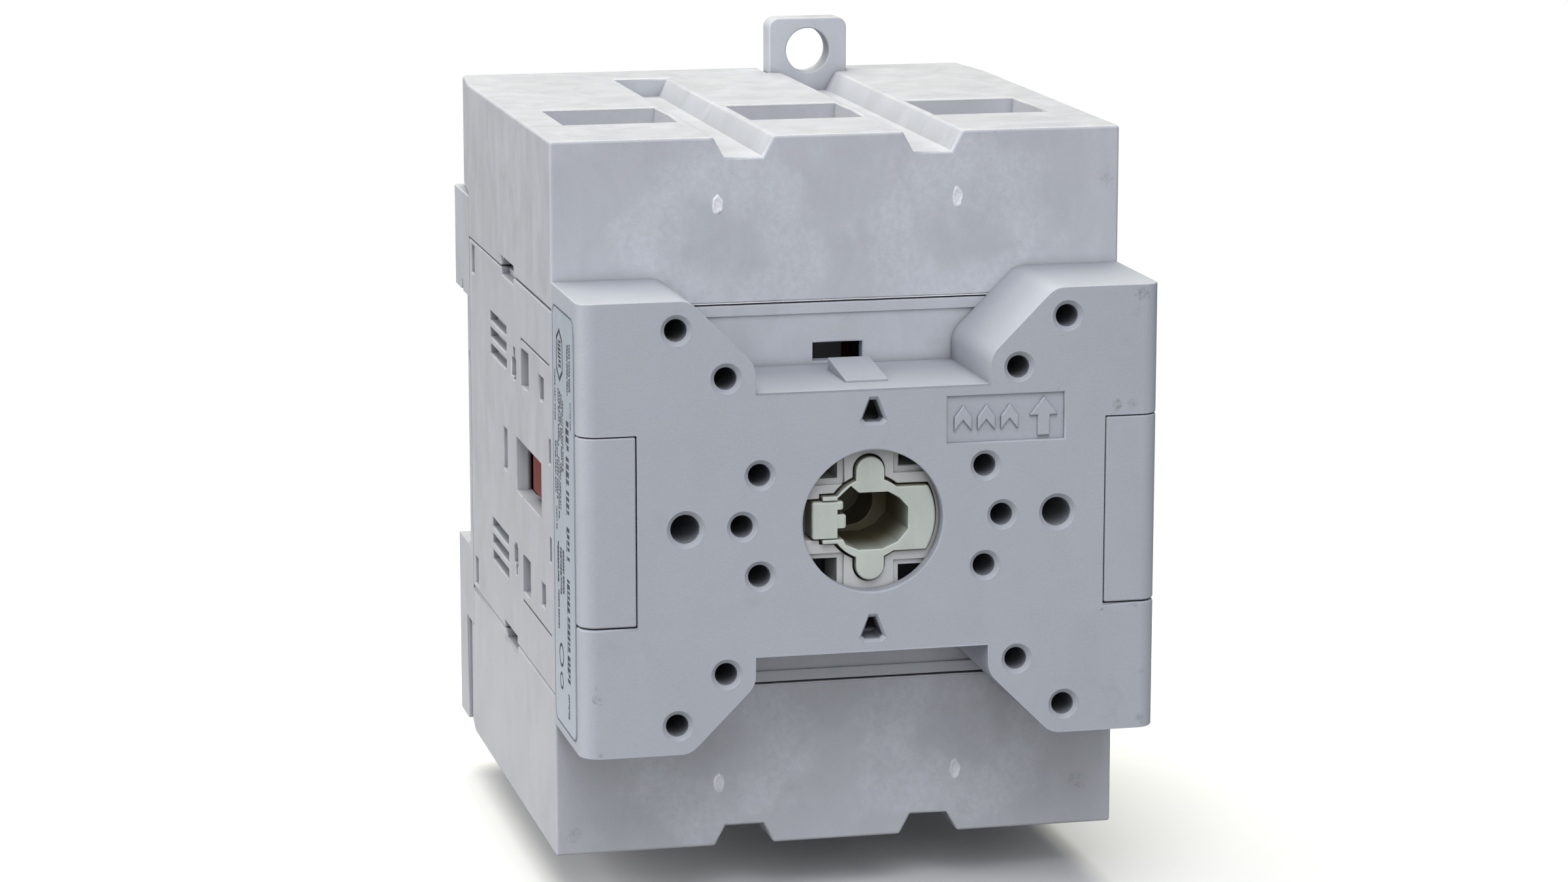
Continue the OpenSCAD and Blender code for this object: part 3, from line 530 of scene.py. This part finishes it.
def moulded(node, width, special=None):
    """A copy of a CAD node whose sharp outer edges are rounded as far as their neighbours leave room."""
    source = NODES[node]
    bm = bmesh.new()
    bm.from_mesh(source.data)
    bmesh.ops.remove_doubles(bm, verts=bm.verts, dist=WELD)
    open_holes(bm)
    bmesh.ops.dissolve_limit(
        bm, angle_limit=math.radians(1), verts=bm.verts, edges=bm.edges,
        use_dissolve_boundaries=False, delimit={"SEAM"},
    )
    bm.edges.layers.float.new("bevel_weight_edge")
    found, cache = {}, {}
    for e in bm.edges:
        if len(e.link_faces) != 2:
            continue
        angle = e.calc_face_angle_signed()
        if abs(angle) > SHARP:
            e.smooth = False
        if angle < SHARP:
            continue
        along = (e.verts[1].co - e.verts[0].co).normalized()
        room = 1.0
        for v in e.verts:
            for other in v.link_edges:
                if other is e:
                    continue
                turn = abs(along.dot((other.verts[1].co - other.verts[0].co).normalized()))
                if turn < 0.9:
                    room = min(room, other.calc_length() * ROOM)
        room = min([room] + [face_room(e, f, cache) * ROOM for f in e.link_faces])
        wish = width * MM
        if special:
            wish = special((e.verts[0].co + e.verts[1].co) / 2 / MM, wish, e.calc_length())
        found[e] = min(wish, room) if min(wish, room) > FINEST else 0.0
    widest = max(found.values(), default=0.0)
    bm.edges.index_update()
    links = []
    for v in bm.verts:
        meeting = [e for e in v.link_edges if e in found]
        for i, e in enumerate(meeting):
            for other in meeting[i + 1:]:
                along, away = (k.other_vert(v).co - v.co for k in (e, other))
                straight = abs(along.normalized().dot(away.normalized()))
                if straight > 0.85:
                    turn = math.sqrt(max(0.0, 1 - straight * straight))
                    links.append((e.index, other.index, STEP * turn * min(along.length, away.length)))
    for f in bm.faces:
        f.smooth = True
    widths = np.zeros(len(bm.edges))
    for e, w in found.items():
        widths[e.index] = w
    mesh = bpy.data.meshes.new(node + "_skin")
    bm.to_mesh(mesh)
    bm.free()
    stale = mesh.attributes.get("custom_normal")
    if stale:
        mesh.attributes.remove(stale)
    piece = bpy.data.objects.new(node + "_moulded", mesh)
    bpy.context.scene.collection.objects.link(piece)
    if widest:
        bevel = piece.modifiers.new("edges", "BEVEL")
        bevel.limit_method = "WEIGHT"
        bevel.width = widest
        bevel.segments = SEGMENTS
        bevel.use_clamp_overlap = False
        bevel.harden_normals = True
        even(piece, widths, links)
    mesh.materials.append(M[SLOTS[node]])
    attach(piece, source["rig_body"])
    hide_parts(node)
    return piece, widths, links


def folds(piece, graph):
    """Points where rounding has folded a face over."""
    mesh = piece.evaluated_get(graph).to_mesh()
    mesh.calc_loop_triangles()
    faces = mesh.polygons
    bad = set()
    for f in faces:
        corners = (mesh.corner_normals[i].vector for i in f.loop_indices)
        if f.area > SPECK and min(c.dot(f.normal) for c in corners) < 0:
            bad.update(f.vertices)
    for t in mesh.loop_triangles:
        if t.area > SPECK and t.normal.dot(faces[t.polygon_index].normal) < 0:
            bad.update(t.vertices)
    return [mesh.vertices[i].co.copy() for i in bad]


def ease(piece, widths, spots):
    """Makes the rounding narrower on the edges close to the spots."""
    mesh = piece.data
    spots = np.array(spots)
    for i in np.nonzero(widths)[0]:
        a, b = (np.array(mesh.vertices[k].co) for k in mesh.edges[i].vertices)
        t = np.clip((spots - a) @ (b - a) / max((b - a) @ (b - a), 1e-14), 0, 1)
        if np.linalg.norm(spots - a - t[:, None] * (b - a), axis=1).min() < 1.4 * widths[i] + 2 * FINEST:
            widths[i] *= EASING


def settle(made):
    """Narrows roundings until none folds a face over."""
    todo = [entry for entry in made if entry[1].any()]
    for _ in range(SETTLING):
        graph = bpy.context.evaluated_depsgraph_get()
        found = [(entry, folds(entry[0], graph)) for entry in todo]
        todo = [entry for entry, spots in found if spots]
        for (piece, widths, links), spots in found:
            if spots:
                ease(piece, widths, spots)
                even(piece, widths, links)


def hub_edges(at, wish, _):
    """The bore's mouth is crisper than the outside of the cross."""
    return 0.12 * MM if math.hypot(at.x, at.z) < 5.2 or at.x < -3 else wish


def plate_edges(at, wish, length):
    """Rims of small holes and the ramp are crisper than the rest, the outer edges rounder."""
    x, z = abs(at.x), abs(at.z)
    if x < 3 and z > 16 and at.y > 3:
        return 0.1 * MM
    if length < 0.6 * MM and z < 26 and x < 28:
        return 0.09 * MM
    if z > 27:
        return 0.55 * MM
    return wish


# rounding of every moulded or stamped node, in millimetres
WIDTHS = {
    "front_plate": 0.3, "side_insert_left": 0.25, "side_insert_right": 0.25, "drive_hub": 0.3,
    "shaft_clip": 0.35, "rotor_disc": 0.15, "pinion": 0.15, "contact_slide": 0.25,
    "moving_bridges": 0.2, "line_contacts": 0.2, "load_contacts": 0.2, "terminal_cages": 0.35,
    "housing_body": 0.22, "shroud_top": 0.4, "shroud_bottom": 0.4, "rear_base": 0.25,
    "base_screws": 0.2, "rail_latch": 0.3,
}
for i in range(1, 7):
    WIDTHS[f"clamp_screw_{i}"] = 0.25
    WIDTHS[f"pressure_plate_{i}"] = 0.25
SPECIAL = {"front_plate": plate_edges, "drive_hub": hub_edges}
settle([moulded(name, width, SPECIAL.get(name)) for name, width in WIDTHS.items()])


def squeezed_springs(node, anchors):
    """Copies of coil springs, one per anchor, each made of the points of the coil that lie nearest to
    that anchor.
    """
    source = NODES[node]
    anchors = [Vector(a) * MM for a in anchors]
    for k, anchor in enumerate(anchors):
        bm = bmesh.new()
        bm.from_mesh(source.data)
        bmesh.ops.remove_doubles(bm, verts=bm.verts, dist=WELD)
        others = [v for v in bm.verts if min(anchors, key=lambda a: (v.co - a).length) is not anchor]
        bmesh.ops.delete(bm, geom=others, context="VERTS")
        for f in bm.faces:
            f.smooth = True
        mesh = bpy.data.meshes.new(f"{node}_coil_{k + 1}")
        bm.to_mesh(mesh)
        bm.free()
        stale = mesh.attributes.get("custom_normal")
        if stale:
            mesh.attributes.remove(stale)
        mesh.materials.append(M[SLOTS[node]])
        piece = bpy.data.objects.new(f"{node}_coil_{k + 1}", mesh)
        bpy.context.scene.collection.objects.link(piece)
        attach(piece, source["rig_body"])
        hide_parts(node)
        tuple(anchor)
        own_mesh(piece)


# where the springs stand: the seats of the three bridges, and the post under the rail catch's spring
spring_low, spring_high = (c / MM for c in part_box("contact_springs"))
SEATS = [(spring_low.x + PITCH * i, (spring_low.y + spring_high.y) / 2, 0.0) for i in range(3)]
POST = (0.0, 89.1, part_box("latch_spring")[0].z / MM)
squeezed_springs("contact_springs", SEATS)
squeezed_springs("latch_spring", [POST])

for node_name, node_object in NODES.items():
    if node_name in WIDTHS or node_name in ("rating_label", "contact_springs", "latch_spring"):
        continue
    node_object.data.materials.clear()
    node_object.data.materials.append(M[SLOTS[node_name]])


# ---------------------------------------------------------------- small surface details


def add_piece(name, points, faces, material, body, smooth=False):
    """A mesh piece given in millimetres, riding on a body."""
    mesh = bpy.data.meshes.new(name)
    mesh.from_pydata([tuple(c * MM for c in p) for p in points], [], faces)
    bm = bmesh.new()
    bm.from_mesh(mesh)
    bmesh.ops.recalc_face_normals(bm, faces=bm.faces)
    bm.to_mesh(mesh)
    bm.free()
    for polygon in mesh.polygons:
        polygon.use_smooth = smooth
    mesh.materials.append(material)
    piece = bpy.data.objects.new(name, mesh)
    bpy.context.scene.collection.objects.link(piece)
    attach(piece, body)
    return piece


def add_box(points, faces, low, high):
    """Adds a box between two corners to lists of points and faces."""
    base = len(points)
    points += [(x, y, z) for x in (low[0], high[0]) for y in (low[1], high[1]) for z in (low[2], high[2])]
    for f in ((0, 1, 3, 2), (4, 6, 7, 5), (0, 4, 5, 1), (2, 3, 7, 6), (0, 2, 6, 4), (1, 5, 7, 3)):
        faces.append(tuple(base + i for i in f))


LABEL_X = cad_low.x / MM  # outer face of the label
PRINT_T = 0.012  # thickness of the ink


class Print:
    """Ink on the label, as thin flat bars. It stands for writing without spelling anything."""

    def __init__(self):
        self.points, self.faces = [], []

    def bar(self, y0, y1, z0, z1):
        low = (LABEL_X, min(y0, y1), min(z0, z1))
        high = (LABEL_X + PRINT_T, max(y0, y1), max(z0, z1))
        add_box(self.points, self.faces, low, high)

    def line(self, y, z_from, z_to, height, stroke, gap, word=5):
        """A line of writing that runs down the label: short strokes in groups."""
        z, count = z_from, 0
        while z - stroke > z_to:
            length = stroke * RNG.uniform(0.6, 1.2)
            tall = height * RNG.choice((0.7, 0.85, 1.0))
            self.bar(y - height / 2, y - height / 2 + tall, z, z - length)
            if RNG.random() < 0.6:
                self.bar(y + height / 2 - stroke * 0.5, y + height / 2, z, z - length * 1.6)
            count += 1
            z -= length + gap * (2.0 if count % word == 0 else 0.7)

    def outline(self, corners, inner):
        """A closed line of ink between two rings of corners given as depth and height."""
        base = len(self.points)
        n = len(corners)
        for x in (LABEL_X, LABEL_X + PRINT_T):
            for (y, z), (y2, z2) in zip(corners, inner):
                self.points += [(x, y, z), (x, y2, z2)]
        for i in range(n):
            j = (i + 1) % n
            a, b, c, d = (base + v for v in (2 * i, 2 * j, 2 * j + 1, 2 * i + 1))
            m = 2 * n
            self.faces += [(a, b, c, d), (a + m, d + m, c + m, b + m)]
            self.faces += [(a, a + m, b + m, b), (d, c, c + m, d + m)]


def ring_corners(y, z, r):
    count = 24
    turns = [k * math.tau / count for k in range(count)]
    return [(y + r * math.cos(a), z + r * math.sin(a)) for a in turns]


def shrunk(corners, share):
    """A ring of corners drawn in towards its middle."""
    cy, cz = (sum(c[i] for c in corners) / len(corners) for i in (0, 1))
    return [(cy + (y - cy) * share, cz + (z - cz) * share) for y, z in corners]


def label_skin():
    """The label itself, thinner than its CAD node by the ink's thickness."""
    source = NODES["rating_label"]
    mesh = source.data.copy()
    mesh.name = "label_skin"
    middle = (cad_low.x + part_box("rating_label")[1].x) / 2
    for v in mesh.vertices:
        if v.co.x < middle:
            v.co.x = (LABEL_X + PRINT_T * 0.7) * MM
    mesh.materials.clear()
    mesh.materials.append(M["label_blue"])
    piece = bpy.data.objects.new("label_skin", mesh)
    bpy.context.scene.collection.objects.link(piece)
    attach(piece, "root")
    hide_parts("rating_label")


def label_print():
    """Badge outline, groups of strokes and two rings, as depth and height on the label."""
    pale, dark, rim = Print(), Print(), Print()
    badge = [(12.0, 22.9), (9.9, 21.6), (9.9, 17.6), (12.0, 16.3), (14.1, 17.6), (14.1, 21.6)]
    pale.outline(badge, shrunk(badge, 0.82))
    pale.line(12.0, 21.4, 17.8, 1.9, 0.4, 0.25, 9)
    for y, z0, z1 in ((6.9, 21.6, 15.4), (6.1, 21.8, 15.8), (5.2, 22.0, 16.2)):
        pale.line(y, z0, z1, 0.55, 0.3, 0.14)
    pale.line(5.0, 15.0, 11.6, 0.4, 0.3, 0.14)
    for y, z0, z1 in (
        (15.1, 17.4, 10.6), (12.9, 15.4, 8.0), (11.9, 15.2, 9.2), (11.0, 15.0, 5.4), (10.1, 14.4, 5.6),
    ):
        pale.line(y, z0, z1, 0.6, 0.32, 0.15)
    for y, z0, z1 in (
        (15.0, 8.6, 2.0), (13.9, 8.8, 1.4), (12.9, 7.0, -1.0), (11.9, 6.4, 0.4), (14.6, 0.6, -2.4),
    ):
        pale.line(y, z0, z1, 0.6, 0.34, 0.15)
    pale.line(7.2, 12.4, 0.4, 1.9, 0.62, 0.42, 4)
    dark.line(7.2, -0.6, -5.2, 1.9, 0.6, 0.38, 4)
    for y, z0, z1 in ((13.9, -3.6, -9.0), (12.1, -4.0, -10.0), (10.4, -4.0, -9.8)):
        dark.line(y, z0, z1, 0.95, 0.42, 0.12, 7)
    pale.line(13.7, -9.6, -14.6, 0.9, 0.36, 0.14, 6)
    dark.line(7.2, -7.0, -20.4, 1.7, 0.55, 0.3, 6)
    dark.outline(ring_corners(12.2, -17.4, 1.5), ring_corners(12.2, -17.4, 1.1))
    dark.outline(ring_corners(12.2, -20.6, 1.1), ring_corners(12.2, -20.6, 0.75))
    dark.line(7.4, -21.2, -24.4, 0.9, 0.34, 0.12, 9)
    low, high = (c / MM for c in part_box("rating_label"))
    radius, rings = 1.6, ([], [])
    for k, (y, z) in enumerate(((high.y, high.z), (low.y, high.z), (low.y, low.z), (high.y, low.z))):
        cy, cz = y - math.copysign(radius, y - 9), z - math.copysign(radius, z)
        for step in range(7):
            a = math.radians(90 * k + 15 * step)
            for ring, r in zip(rings, (radius, radius - 0.22)):
                ring.append((cy + r * math.cos(a), cz + r * math.sin(a)))
    rim.outline(*rings)
    for name, ink, colour in (
        ("label_print_pale", pale, srgb(70, 70, 72)),
        ("label_print_dark", dark, srgb(46, 52, 70)),
        ("label_rim", rim, srgb(84, 92, 102)),
    ):
        material = plastic(
            name, colour,
            rough=0.5, grain=0.002, grain_scale=4.0, flow=0.1, mottle=0.12, edge=0.0,
            speck=0.0,
        )
        add_piece(name, ink.points, ink.faces, material, "root")


# depth of the shrouds' front faces, in millimetres
FACE_Y = 18


def gate_mark(name, x, z, body, material):
    """Rough oval scar where a moulding was cut from its runner."""
    rings, around = 7, 28
    half_x, half_z = 0.72, 1.35
    points, faces = [], []
    for i in range(rings + 1):
        share = i / rings
        for k in range(around):
            a = k * math.tau / around
            wobble = 1 + 0.22 * noise.noise(Vector((math.cos(a) * 1.6 + x, math.sin(a) * 1.6, z)))
            rise = math.exp(-((share - 0.72) / 0.2) ** 2) * 0.15 + 0.05 * (1 - share)
            rough = noise.noise(Vector((x + 9 * share * math.cos(a), z + 9 * share * math.sin(a), 3.0)))
            lift = max(-0.02, rise * (1 + 1.1 * rough)) if i < rings else -0.03
            out = share * wobble
            points.append((x + half_x * out * math.cos(a), FACE_Y - lift, z + half_z * out * math.sin(a)))
    for i in range(rings):
        for k in range(around):
            a, b = i * around + k, i * around + (k + 1) % around
            faces.append((a, b, b + around, a + around))
    rim, back = rings * around, len(points)
    points += [(p[0], FACE_Y + 0.1, p[2]) for p in points[rim:]]
    for k in range(around):
        after = (k + 1) % around
        faces.append((rim + k, rim + after, back + after, back + k))
    faces.append(tuple(back + k for k in range(around)))
    add_piece(name, points, faces, material, body, smooth=True)


def flash(name, x0, x1, z, grow, body, material):
    """Uneven thin fin of plastic along a parting line, in the front face."""
    points, faces, count = [], [], int((x1 - x0) / 0.35)
    least = 0.12
    for i in range(count + 1):
        x = x0 + (x1 - x0) * i / count
        n = noise.noise(Vector((x * 0.35, z, 1.0))) + 0.35 * noise.noise(Vector((x * 2.1, z, 5.0)))
        high = grow * max(least, min(1.0, 0.5 + n)) if n > -0.3 else grow * least
        root, tip = FACE_Y + 0.05, FACE_Y - high
        points += [(x, root, z), (x, tip, z), (x, FACE_Y - high * 0.8, z + 0.08), (x, root, z + 0.14)]
    for i in range(count):
        for k in range(4):
            a, b = 4 * i + k, 4 * i + (k + 1) % 4
            faces.append((a, b, b + 4, a + 4))
    faces += [(3, 2, 1, 0), tuple(4 * count + k for k in range(4))]
    add_piece(name, points, faces, material, body, smooth=True)


label_skin()
label_print()
SCAR = plastic(
    "scar_white", srgb(206, 207, 211),
    rough=0.5, grain=0.06, grain_scale=6.0, flow=0.1, mottle=0.1, edge=0.3,
    stain=(0.25, 0.24, 0.23),
)
SCAR_GATE = plastic(
    "scar_gate", srgb(216, 217, 222),
    rough=0.55, grain=0.08, grain_scale=5.0, flow=0.1, mottle=0.4, edge=0.5,
    stain=(0.06, 0.06, 0.06), speck=1.0,
)
gate_mark("gate_mark_top_left", -15.1, 36.2, "top_shroud", SCAR_GATE)
gate_mark("gate_mark_top_right", 15.1, 36.2, "top_shroud", SCAR_GATE)
gate_mark("gate_mark_low_left", -15.05, -36.4, "bottom_shroud", SCAR_GATE)
gate_mark("gate_mark_low_right", 15.3, -36.4, "bottom_shroud", SCAR_GATE)
flash("flash_top", -22.5, 22.5, 23.98, 0.13, "top_shroud", SCAR)
flash("flash_low", -20.0, 20.0, -24.12, 0.1, "bottom_shroud", SCAR)


# ---------------------------------------------------------------- studio


def studio_floor():
    """A plain pale floor under the lowest point of the object."""
    half, cells = 3.0, 12
    mesh = bpy.data.meshes.new("studio_floor")
    step, row = 2 * half / cells, cells + 1
    points = [(-half + i * step, -half + j * step, 0) for j in range(row) for i in range(row)]
    corners = [j * row + i for j in range(cells) for i in range(cells)]
    mesh.from_pydata(points, [], [(k, k + 1, k + row + 1, k + row) for k in corners])
    floor = bpy.data.objects.new("studio_floor", mesh)
    floor.location.z = cad_low.z
    bpy.context.scene.collection.objects.link(floor)
    s = Shader("studio_floor")
    seen = s.add("LightPath").outputs["Is Camera Ray"]
    tone = s.scaled_colour((0.9, 0.9, 0.9), s.ramp(s.noise(0.01, 3.0), 0.3, 0.7, 0.98, 1.0))
    tone = s.scaled_colour(tone, s.ramp(seen, 0.0, 1.0, 0.4, 1.0))
    matt = s.add("BsdfDiffuse", {"Color": tone, "Normal": s.bump(s.noise(0.5, 2.0), 0.02)}).outputs[0]
    strength = s.ramp(seen, 0.0, 1.0, 0.18, 1.0)
    glow = s.add("Emission", {"Color": rgba((1, 1, 1)), "Strength": strength}).outputs[0]
    away = s.add("VectorMath", {0: s.place, 1: (0, 60, 0)}, operation="DISTANCE").outputs["Value"]
    lit = s.ramp(away, 80, 260)
    both = s.add("MixShader", {0: lit, 1: matt, 2: glow}).outputs[0]
    s.add("OutputMaterial", {"Surface": both})
    mesh.materials.append(s.material)


def area_light(name, at, towards, size, power, colour):
    """A soft box at a place in metres, turned towards a point."""
    data = bpy.data.lights.new(name, "AREA")
    data.shape = "RECTANGLE"
    data.size, data.size_y = size
    data.energy = power
    data.color = colour
    lamp = bpy.data.objects.new(name, data)
    lamp.location = at
    lamp.rotation_mode = "QUATERNION"
    lamp.rotation_quaternion = (Vector(towards) - Vector(at)).to_track_quat("-Z", "Y")
    bpy.context.scene.collection.objects.link(lamp)


def studio_world(lit, seen):
    """A plain sky: one colour and strength that lights the object, another that the camera sees."""
    world = bpy.data.worlds.new("studio_world")
    world.use_nodes = True
    nodes, links = world.node_tree.nodes, world.node_tree.links
    nodes.clear()
    out = nodes.new("ShaderNodeOutputWorld")
    both = nodes.new("ShaderNodeMixShader")
    rays = nodes.new("ShaderNodeLightPath")
    for slot_index, (colour, strength) in ((1, lit), (2, seen)):
        sky = nodes.new("ShaderNodeBackground")
        sky.inputs["Color"].default_value = rgba(colour)
        sky.inputs["Strength"].default_value = strength
        links.new(sky.outputs[0], both.inputs[slot_index])
    links.new(rays.outputs["Is Camera Ray"], both.inputs[0])
    links.new(both.outputs[0], out.inputs[0])
    bpy.context.scene.world = world


studio_floor()
studio_world(((0.93, 0.96, 1.0), 0.22), ((1, 1, 1), 1.0))
# name, place, the point it faces, size, watts and colour
LIGHTS = (
    ("key_above", (-0.02, 0.4, 0.65), (0, 0.04, 0), (0.8, 0.6), 6.6, (1.0, 0.98, 0.86)),
    ("fill_front", (-0.1, -0.95, 0.28), (0, 0.02, 0), (0.7, 0.7), 3.4, (0.94, 0.96, 1.0)),
    ("fill_high", (-0.1, -0.63, 0.78), (0, 0.02, 0), (0.6, 0.6), 5.8, (0.95, 0.965, 1.0)),
    ("fill_left", (-0.9, 0.1, 0.3), (0, 0.04, 0), (0.7, 0.7), 6.4, (1.0, 1.0, 1.0)),
)
for light in LIGHTS:
    area_light(*light)

camera_data = bpy.data.cameras.new("camera")
camera_data.sensor_width = 36.0
camera_data.lens = 103.73
camera_data.clip_start, camera_data.clip_end = 0.01, 20.0
camera = bpy.data.objects.new("camera", camera_data)
camera.location = (-0.1302, -0.5132, 0.1138)
camera.rotation_mode = "QUATERNION"
camera.rotation_quaternion = Vector((0.2220, 0.9558, -0.1928)).to_track_quat("-Z", "Y")
bpy.context.scene.collection.objects.link(camera)
bpy.context.scene.camera = camera
bpy.context.scene.view_settings.view_transform = "Standard"
